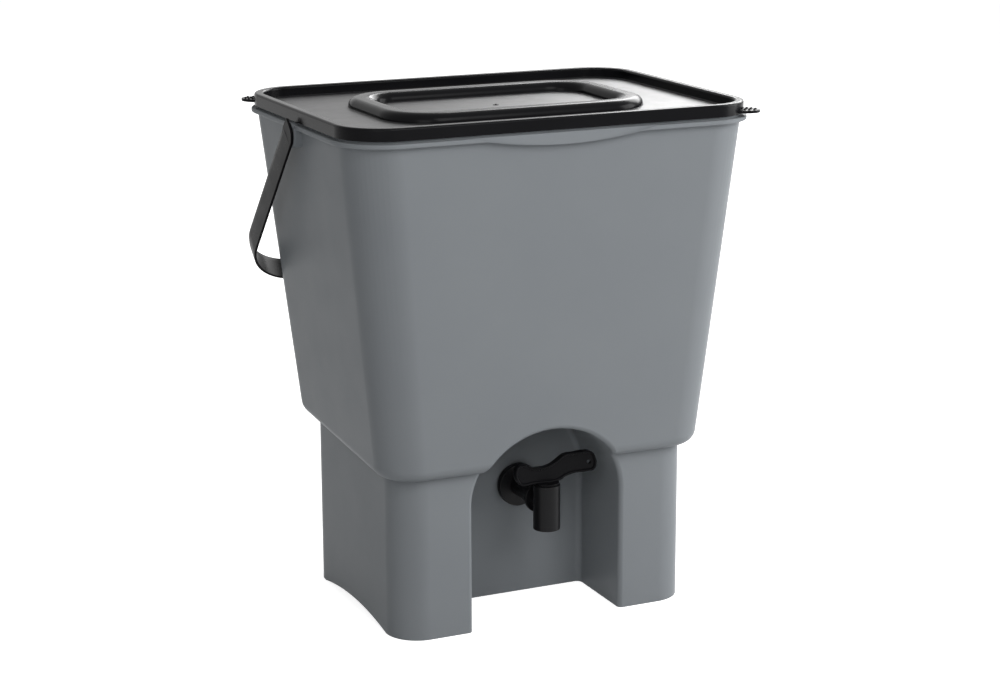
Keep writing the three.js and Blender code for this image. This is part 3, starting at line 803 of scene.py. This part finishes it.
class BIN_OT_lid(Operator):
    """Model the black lid with its ridge, raised ring and pull tabs"""

    bl_idname = "composting_bin.lid"
    bl_label = "Lid"

    def execute(self, context):
        sizes = context.scene.bin_lid
        bottom = sizes.top - sizes.height
        panel = bottom + sizes.wall
        lid = lid_shell(sizes)
        combine(lid, raised_ring(sizes, 0, bottom + MM / 2), "UNION")
        face_out(lid)
        round_edges(lid, sizes.ring_fillet, lambda edge: is_sharp(edge, 50) and not edge.is_convex
                    and at_height(panel)(edge), 4)
        groove = lid_plan_block(sizes, sizes.wall, bottom - OVERRUN, sizes.top - sizes.wall)
        core = lid_plan_block(sizes, sizes.rim_width - sizes.wall, bottom - 2 * OVERRUN, sizes.top)
        combine(groove, core, "DIFFERENCE")
        hollow = raised_ring(sizes, sizes.wall, bottom - OVERRUN)
        cut_all(lid, [groove, hollow])
        tabs = combine(pull_tab(sizes, -1), pull_tab(sizes, 1), "UNION")
        combine(tabs, lid_plan_block(sizes, sizes.wall / 2, bottom, sizes.top), "DIFFERENCE")
        combine(lid, tabs, "UNION")
        combine(lid, gate_mark(sizes, panel), "UNION")
        face_out(lid)
        hand_over(lid, "black_lid", "lid", ["lid"], moulded_black(context, "lid"))
        dress(frame["nodes"]["lid_seal"], soft_rubber(context))
        return {"FINISHED"}


# Handle

def handle_rest_angle(sizes):
    """The angle back from straight down at which the frame's handle hangs against the wall."""
    depth = hinge_place("handle").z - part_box("carry_handle")[0].z
    lower_edge = math.hypot(sizes.reach, sizes.width / 2)
    return math.acos(depth / lower_edge) + math.atan(sizes.width / 2 / sizes.reach)


def bend_strap(x, z):
    """Spins the strap's open end a quarter turn about an axis from front to back."""
    bpy.ops.mesh.spin(steps=20, angle=math.pi / 2, center=(x, 0, z), axis=(0, 1, 0))


def strap_shape(sizes):
    """The strap bent to a U that hangs straight down from its hinge axis at height 0."""
    half_span = sizes.inner_half + sizes.thickness / 2
    bend = sizes.corner - sizes.thickness / 2
    reach = sizes.reach - sizes.thickness / 2
    strap = add_solid(bpy.ops.mesh.primitive_plane_add, (sizes.thickness, sizes.width, 1),
                      size=1, location=(-half_span, 0, 0))
    ridge_y = sizes.width / 2 - sizes.rear_strip
    edit(strap)
    cut_across(ridge_y)
    for y, thickness in ((ridge_y, sizes.ridge), (sizes.width / 2, sizes.rear_edge)):
        pick_edges(strap, lambda edge, y=y: all(near(vertex.co.y, y) for vertex in edge.verts))
        bpy.ops.transform.resize(value=(thickness / sizes.thickness, 1, 1))
    pick_all()
    extrude(0, 0, bend - reach)
    bend_strap(bend - half_span, bend - reach)
    extrude(2 * (half_span - bend), 0, 0)
    bend_strap(half_span - bend, bend - reach)
    extrude(0, 0, reach - bend)
    leave_edit()
    face_out(strap)
    round_sharp(strap, sizes.edge_round, 2, degrees=50)
    return strap


def strap_end(sizes, side):
    """The pieces of one end: the round head, its squared rear corner and the stub pin."""
    inner = side * (sizes.inner_half + HAIR)
    outer = side * (sizes.inner_half + sizes.thickness - HAIR)
    disc = cross_bar(sizes.width / 2, 0, inner, outer)
    round_sharp(disc, sizes.edge_round, 2)
    low, high = sorted((inner, outer))
    half = sizes.width / 2 - HAIR
    corner = cuboid((low + HAIR, 0, 0), (high - HAIR, half, half))
    round_sharp(corner, sizes.head_round, ROUND_SEGMENTS,
                lambda point: near(point.y, half) and near(point.z, half))
    round_sharp(corner, sizes.edge_round, 2)
    pin = cross_bar(sizes.pin_radius, 0, side * (sizes.inner_half - sizes.pin_length),
                    side * (sizes.inner_half + MM), sides=48)
    return [disc, corner, pin]


class BIN_OT_handle(Operator):
    """Model the carry handle as one strap bent to a U, with its heads and stub pins"""

    bl_idname = "composting_bin.handle"
    bl_label = "Handle"

    def execute(self, context):
        sizes = context.scene.bin_handle
        strap = strap_shape(sizes)
        for side in (-1, 1):
            join_all(strap, strap_end(sizes, side))
        activate(strap)
        strap.rotation_euler = (handle_rest_angle(sizes), 0, 0)
        strap.location = (0, 0, hinge_place("handle").z)
        settle()
        face_out(strap)
        hand_over(strap, "carry_strap", "handle", ["carry_handle"],
                  moulded_black(context, "handle"))
        return {"FINISHED"}


# Tap

PLUG_SEALS = ("plug_seal_lower", "plug_seal_upper")
BLADE_OUTLINE_SHARES = (
    (0.00, 0.42), (0.02, 0.20), (0.07, 0.03), (0.23, 0.03), (0.40, 0.00), (0.48, 0.01),
    (0.56, 0.06), (0.62, 0.16), (0.72, 0.23), (0.91, 0.23), (0.97, 0.26), (1.00, 0.49),
    (0.99, 0.70), (0.95, 0.93), (0.89, 1.00), (0.73, 0.99), (0.60, 0.97), (0.51, 0.79),
    (0.41, 0.64), (0.30, 0.60), (0.20, 0.65), (0.15, 0.74), (0.09, 0.78), (0.03, 0.75),
)


def lever_blade(sizes, low):
    """The lever's S-shaped blade with recessed faces."""
    spout = hinge_place("lever")
    places = [(sizes.blade_length * along, sizes.blade_height * up, 0)
              for along, up in BLADE_OUTLINE_SHARES]
    blade, points = closed_outline("blade", places, sizes.blade_thickness, 3)
    for point in points:
        point.handle_left_type = point.handle_right_type = "AUTO"
    blade = curve_to_mesh(blade)
    blade.rotation_euler = (math.pi / 2, 0, 0)
    blade.location = (spout.x - sizes.blade_tail, spout.y, low)
    settle()
    face_out(blade)
    edit(blade)
    pick_faces(blade, lambda middle, normal: abs(normal.y) > SQUARE_ON)
    bpy.ops.mesh.dissolve_faces()
    pick_faces(blade, lambda middle, normal: abs(normal.y) > SQUARE_ON)
    bpy.ops.mesh.inset(thickness=sizes.blade_rim, use_even_offset=True)
    bpy.ops.mesh.inset(thickness=sizes.blade_round, depth=-sizes.blade_recess)
    leave_edit()
    half = sizes.blade_thickness / 2
    round_sharp(blade, sizes.blade_round, where=lambda point: near(abs(point.y - spout.y), half))
    return blade


def level_bar(sizes, radius, front, back):
    """A round bar on the tap's level axis, from one place to another further back."""
    return cylinder(radius, (sizes.x, front, sizes.z), (sizes.x, back, sizes.z))


def upright_bar(radius, low, high):
    """A round bar on the spout's upright axis."""
    spout = hinge_place("lever")
    return cylinder(radius, (spout.x, spout.y, low), (spout.x, spout.y, high))


class BIN_OT_tap(Operator):
    """Model the tap's washer, body and lever"""

    bl_idname = "composting_bin.tap"
    bl_label = "Tap"

    def execute(self, context):
        sizes = context.scene.bin_tap
        self.make_body(context, sizes)
        self.make_washer(context, sizes)
        self.make_lever(context, sizes)
        for name in ("tap_inner_washer", *PLUG_SEALS):
            dress(frame["nodes"][name], soft_rubber(context))
        dress(frame["nodes"]["tap_nut"], moulded_black(context, "tap"))
        return {"FINISHED"}

    def make_body(self, context, sizes):
        """The tap's body: the barrel with its flange and collar, the spout and the shank."""
        spout = hinge_place("lever")
        low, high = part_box("tap_body")
        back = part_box("tap_outer_washer")[0].y - CLEARANCE
        front = back - sizes.flange_thickness
        barrel = level_bar(sizes, sizes.barrel_radius, spout.y, back)
        flange = level_bar(sizes, sizes.flange_radius, front, back)
        round_sharp(flange, sizes.flange_round, where=lambda point: near(point.y, front))
        collar_front = spout.y + sizes.spout_radius + sizes.collar_gap
        collar = level_bar(sizes, sizes.collar_radius, collar_front, collar_front + sizes.collar_width)
        round_sharp(collar, sizes.collar_round)
        tube = upright_bar(sizes.spout_radius, low.z, spout.z)
        round_sharp(tube, sizes.spout_round)
        join_all(barrel, [flange, collar, tube, level_bar(sizes, sizes.shank_radius, back - MM, high.y)])
        face_out(barrel)
        cut_all(barrel, [
            upright_bar(sizes.spout_bore, low.z - OVERRUN, spout.z + OVERRUN),
            level_bar(sizes, sizes.feed_bore, spout.y, high.y + OVERRUN),
        ])
        face_out(barrel)
        hand_over(barrel, "tap_faucet", "bin", ["tap_body"], moulded_black(context, "tap"))

    def make_washer(self, context, sizes):
        """The rubber washer between the flange and the tub's wall."""
        low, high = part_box("tap_outer_washer")
        washer = level_bar(sizes, sizes.washer_radius, low.y, high.y)
        round_sharp(washer, sizes.small_round, 2)
        combine(washer, level_bar(sizes, sizes.washer_bore, low.y - MM, high.y + MM), "DIFFERENCE")
        face_out(washer)
        hand_over(washer, "outer_washer", "bin", ["tap_outer_washer"],
                  soft_rubber(context))

    def make_lever(self, context, sizes):
        """The lever: its blade, the neck on the spout and the plug inside it."""
        spout = hinge_place("lever")
        neck_low = spout.z + CLEARANCE
        blade_low = neck_low + sizes.neck_height * 3 / 4
        blade = lever_blade(sizes, blade_low)
        neck = upright_bar(sizes.neck_radius, neck_low, neck_low + sizes.neck_height)
        round_sharp(neck, sizes.small_round, 2)
        plug_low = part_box("tap_lever")[0].z
        plug = upright_bar(sizes.spout_bore - CLEARANCE, plug_low, neck_low + MM)
        join_all(blade, [neck, plug])
        face_out(blade)
        window = sizes.plug_window
        hole_x = spout.x - sizes.blade_tail + sizes.blade_length - sizes.hole_from_tip
        hole_z = blade_low + sizes.hole_up
        cut_all(blade, [
            upright_bar(window, plug_low - OVERRUN, sizes.z + window),
            cylinder(window, (spout.x - OVERRUN, spout.y, sizes.z), (spout.x, spout.y, sizes.z)),
            cylinder(sizes.hole_radius, (hole_x, spout.y - OVERRUN, hole_z),
                     (hole_x, spout.y + OVERRUN, hole_z), sides=40),
        ])
        for name in PLUG_SEALS:
            low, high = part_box(name)
            groove = upright_bar(sizes.spout_bore + MM, low.z - CLEARANCE, high.z + CLEARANCE)
            core_radius = sizes.spout_bore - 2 * CLEARANCE - (high.z - low.z)
            combine(groove, upright_bar(core_radius, low.z - MM, high.z + MM), "DIFFERENCE")
            combine(blade, groove, "DIFFERENCE")
        face_out(blade)
        hand_over(blade, "tap_paddle", "lever", ["tap_lever"],
                  moulded_black(context, "lever"))


class BIN_OT_strainer(Operator):
    """Give the strainer plate inside the tub its finish"""

    bl_idname = "composting_bin.strainer"
    bl_label = "Strainer"

    def execute(self, context):
        dress(frame["nodes"]["strainer"], moulded_grey(context))
        return {"FINISHED"}


# Materials

def linear(hex_colour):
    """An sRGB hex colour as the linear values that Blender's sockets take."""
    values = [int(hex_colour[i:i + 2], 16) / 255 for i in (1, 3, 5)]
    return tuple(v / 12.92 if v <= 0.04045 else ((v + 0.055) / 1.055) ** 2.4 for v in values) + (1,)


def add_node(tree, kind, inputs=None, **settings):
    """Adds a shader node, with settings, and inputs by socket: another node's output, or a value."""
    made = tree.nodes.new(f"ShaderNode{kind}")
    for name, value in settings.items():
        setattr(made, name, value)
    for key, value in (inputs or {}).items():
        if isinstance(value, bpy.types.NodeSocket):
            tree.links.new(value, made.inputs[key])
        else:
            made.inputs[key].default_value = value
    return made


def maths(tree, operation, first, second):
    """The result of a sum with two values."""
    return add_node(tree, "Math", {0: first, 1: second}, operation=operation).outputs["Value"]


def ramp(tree, value, low, high, start=0.0, end=1.0):
    """Takes a value's range from start to end over to the one from low to high."""
    return add_node(tree, "MapRange", {
        "Value": value, "From Min": start, "From Max": end,
        "To Min": low, "To Max": high}).outputs["Result"]


def noise(tree, place, size_mm, detail, roughness):
    """Noise that changes over about a size."""
    return add_node(tree, "TexNoise", {
        "Vector": place, "Scale": 1000 / size_mm, "Detail": detail,
        "Roughness": roughness}).outputs["Fac"]


def new_material(name):
    """An empty node material."""
    material = bpy.data.materials.new(name)
    material.use_nodes = True
    material.node_tree.nodes.clear()
    return material


def dress(piece, material):
    """Gives a piece its only material."""
    piece.data.materials.clear()
    piece.data.materials.append(material)


def moulded_plastic(name, base, drift, drift_mm, roughness, spread, grain_mm, grain_depth, index,
                    matt_below=0, matt_roughness=0.4, matt_index=1.5):
    """Injection-moulded plastic: an even colour with slow drifts, and a fine grain from the mould.

    Flats below a height can have a matt mould, as the lid's panel has.
    """
    if name in bpy.data.materials:
        return bpy.data.materials[name]
    material = new_material(name)
    tree = material.node_tree
    place = add_node(tree, "TexCoord").outputs
    cloud = noise(tree, place["Object"], drift_mm, 3.0, 0.5)
    handling = noise(tree, place["Object"], drift_mm / 3, 6.0, 0.6)
    grain = noise(tree, place["Object"], grain_mm, 2.0, 0.6)
    height = add_node(tree, "SeparateXYZ", {"Vector": place["Object"]}).outputs["Z"]
    facing_up = add_node(tree, "SeparateXYZ", {"Vector": place["Normal"]}).outputs["Z"]
    low = ramp(tree, height, 1.0, 0.0, matt_below - MM / 4, matt_below)
    flat = maths(tree, "MULTIPLY", low, facing_up)
    gloss = ramp(tree, handling, roughness - spread, roughness + spread, 0.3, 0.7)
    dulled = ramp(tree, flat, 0.0, matt_roughness - roughness)
    tint = add_node(tree, "Mix", {"Factor": cloud, "A": linear(base), "B": linear(drift)},
                    data_type="RGBA")
    bump = add_node(tree, "Bump", {"Height": grain, "Strength": 0.35, "Distance": grain_depth})
    shader = add_node(tree, "BsdfPrincipled", {
        "Base Color": tint.outputs["Result"], "Roughness": maths(tree, "ADD", gloss, dulled),
        "Normal": bump.outputs["Normal"], "IOR": ramp(tree, flat, index, matt_index)})
    add_node(tree, "OutputMaterial", {"Surface": shader.outputs["BSDF"]})
    return material


def moulded_grey(context):
    """Grey polypropylene from a satin mould: soft, broad highlights over an even mid grey."""
    finishes = context.scene.bin_finishes
    return moulded_plastic("grey_polypropylene", finishes.grey, finishes.grey_cloud, drift_mm=90,
                           roughness=0.38, spread=0.04, grain_mm=0.9, grain_depth=0.00004, index=1.12)


def moulded_black(context, part):
    """Black polypropylene: near black from above, grey where it is seen at a low angle.

    The lid's ridge and ring are smooth with clear highlights, and its panel is matt and turns pale
    at a low angle. The handle, the tap and the lever are duller.
    """
    finishes = context.scene.bin_finishes
    lid = context.scene.bin_lid
    looks = {
        "lid": dict(base=finishes.black, drift_mm=60, roughness=0.2, spread=0.03, grain_mm=0.8,
                    grain_depth=0.00002, index=1.15,
                    matt_below=lid.top - lid.height + lid.wall + CLEARANCE),
        "handle": dict(base=finishes.black, drift_mm=40, roughness=0.3, spread=0.05, grain_mm=0.8,
                       grain_depth=0.00003, index=1.1),
        "tap": dict(base=finishes.tap_black, drift_mm=25, roughness=0.34, spread=0.05, grain_mm=0.6,
                    grain_depth=0.00004, index=1.22),
        "lever": dict(base=finishes.tap_black, drift_mm=25, roughness=0.32, spread=0.05, grain_mm=0.6,
                      grain_depth=0.00004, index=1.12),
    }
    return moulded_plastic(f"black_polypropylene_{part}", drift=finishes.black_worn, **looks[part])


def soft_rubber(context):
    """Black nitrile rubber: dull, with hardly any highlight."""
    finishes = context.scene.bin_finishes
    return moulded_plastic("black_rubber", finishes.rubber, finishes.black_worn, drift_mm=20,
                           roughness=0.75, spread=0.06, grain_mm=0.5, grain_depth=0.00003, index=1.4)


# Stage

# Each softbox's name, place, width and height, and power in watts.
SOFTBOXES = (
    ("front_softbox", (0.3, -2.0, 1.7), (1.4, 1.2), 26),
    ("left_softbox", (-1.1, -1.5, 0.9), (0.8, 1.0), 6),
    ("right_softbox", (1.3, -0.5, 0.7), (0.8, 1.0), 16),
    ("back_softbox", (2.1, 1.7, 1.7), (2.4, 1.4), 84),
)
LIGHT_AIM = Vector((0, 0, 0.2))
FLOOR_SIZE = 60
FLOOR_HEIGHT = -0.0002


def seen_or_mirrored(tree):
    """One for rays that show a surface to the camera: straight, mirrored or through something clear."""
    rays = add_node(tree, "LightPath").outputs
    mirrored = maths(tree, "MAXIMUM", rays["Is Glossy Ray"], rays["Is Transmission Ray"])
    return maths(tree, "MAXIMUM", rays["Is Camera Ray"], mirrored)


class BIN_OT_stage(Operator):
    """Lay the floor, hang the lights and set the camera"""

    bl_idname = "composting_bin.stage"
    bl_label = "Stage"

    def execute(self, context):
        scene = context.scene
        scene.view_settings.view_transform = "Standard"
        self.lay_floor(context)
        self.light_world(context)
        for softbox in SOFTBOXES:
            self.hang_softbox(*softbox)
        self.set_camera(context)
        return {"FINISHED"}

    def lay_floor(self, context):
        """A large pale floor, lifted to the backdrop's white where it is seen or mirrored."""
        finishes = context.scene.bin_finishes
        floor = add_solid(bpy.ops.mesh.primitive_plane_add, size=FLOOR_SIZE, location=(0, 0, FLOOR_HEIGHT))
        name_piece(floor, "floor")
        material = new_material("pale_floor")
        tree = material.node_tree
        shader = add_node(tree, "BsdfPrincipled", {
            "Base Color": linear(finishes.floor), "Roughness": 0.9, "Specular IOR Level": 0.1,
            "Emission Color": linear(finishes.backdrop),
            "Emission Strength": maths(tree, "MULTIPLY", seen_or_mirrored(tree), finishes.floor_lift)})
        add_node(tree, "OutputMaterial", {"Surface": shader.outputs["BSDF"]})
        dress(floor, material)

    def light_world(self, context):
        """The backdrop's colour for the camera and soft even light for the rest."""
        finishes = context.scene.bin_finishes
        world = bpy.data.worlds.new("studio")
        context.scene.world = world
        world.use_nodes = True
        tree = world.node_tree
        tree.nodes.clear()
        even = add_node(tree, "Background", {"Color": (1, 1, 1, 1), "Strength": finishes.even_light})
        white = add_node(tree, "Background", {"Color": linear(finishes.backdrop), "Strength": 1.0})
        seen = add_node(tree, "MixShader", {
            0: seen_or_mirrored(tree), 1: even.outputs["Background"], 2: white.outputs["Background"]})
        add_node(tree, "OutputWorld", {"Surface": seen.outputs["Shader"]})

    def hang_softbox(self, name, place, size, power):
        """A rectangular soft light that faces the middle of the bin."""
        light = bpy.data.lights.new(name, "AREA")
        light.shape = "RECTANGLE"
        light.size, light.size_y = size
        light.energy = power
        lamp = bpy.data.objects.new(name, light)
        bpy.context.scene.collection.objects.link(lamp)
        lamp.location = place
        aim = LIGHT_AIM - Vector(place)
        lamp.rotation_euler = aim.to_track_quat("-Z", "Y").to_euler()

    def set_camera(self, context):
        """A camera that sees the bin as the photograph does."""
        view = context.scene.bin_view
        a, e, roll = view.azimuth, view.elevation, view.roll
        back = Vector((-math.sin(a) * math.cos(e), -math.cos(a) * math.cos(e), math.sin(e)))
        level = Vector((math.cos(a), -math.sin(a), 0))
        rise = back.cross(level)
        right = level * math.cos(roll) + rise * math.sin(roll)
        up = rise * math.cos(roll) - level * math.sin(roll)
        across = (view.target_pixel[0] - PHOTO_WIDTH / 2) / view.focal_pixels
        upwards = (PHOTO_HEIGHT / 2 - view.target_pixel[1]) / view.focal_pixels
        ray = right * across + up * upwards - back
        place = Vector((0, 0, view.target_height)) - ray * view.distance
        camera_data = bpy.data.cameras.new("camera")
        camera_data.sensor_fit = "HORIZONTAL"
        camera_data.sensor_width = SENSOR_WIDTH_MM
        camera_data.lens = view.focal_pixels * SENSOR_WIDTH_MM / PHOTO_WIDTH
        camera = bpy.data.objects.new("camera", camera_data)
        bpy.context.scene.collection.objects.link(camera)
        turn = Matrix((right, up, back)).transposed().to_4x4()
        camera.matrix_world = Matrix.Translation(place) @ turn
        bpy.context.scene.camera = camera


# Sidebar and registration

class BIN_PT_sidebar(Panel):
    """The bin's pieces and sizes in the 3D view's sidebar"""

    bl_label = "Composting Bin"
    bl_idname = "BIN_PT_sidebar"
    bl_space_type = "VIEW_3D"
    bl_region_type = "UI"
    bl_category = "Composting Bin"

    def draw(self, context):
        for operator in OPERATORS:
            self.layout.operator(operator.bl_idname)
        for group in GROUPS:
            box = self.layout.box()
            settings = getattr(context.scene, group)
            for name in settings.__annotations__:
                box.prop(settings, name)


OPERATORS = (BIN_OT_stage, BIN_OT_tub, BIN_OT_lid, BIN_OT_handle, BIN_OT_tap, BIN_OT_strainer)
GROUPS = {
    "bin_tub": TubSizes,
    "bin_lid": LidSizes,
    "bin_handle": HandleSizes,
    "bin_tap": TapSizes,
    "bin_finishes": Finishes,
    "bin_view": ViewSettings,
}


def register():
    """Makes the operators, the panel and the settings known to Blender."""
    for kind in (*GROUPS.values(), *OPERATORS, BIN_PT_sidebar):
        bpy.utils.register_class(kind)
    for name, group in GROUPS.items():
        setattr(bpy.types.Scene, name, PointerProperty(type=group))


def unregister():
    """Undoes register."""
    for name in GROUPS:
        delattr(bpy.types.Scene, name)
    for kind in (BIN_PT_sidebar, *reversed(OPERATORS), *reversed(GROUPS.values())):
        bpy.utils.unregister_class(kind)


def main():
    """Models every piece in order."""
    register()
    bpy.ops.composting_bin.stage()
    bpy.ops.composting_bin.tub()
    bpy.ops.composting_bin.lid()
    bpy.ops.composting_bin.handle()
    bpy.ops.composting_bin.tap()
    bpy.ops.composting_bin.strainer()


if __name__ == "__main__":
    main()
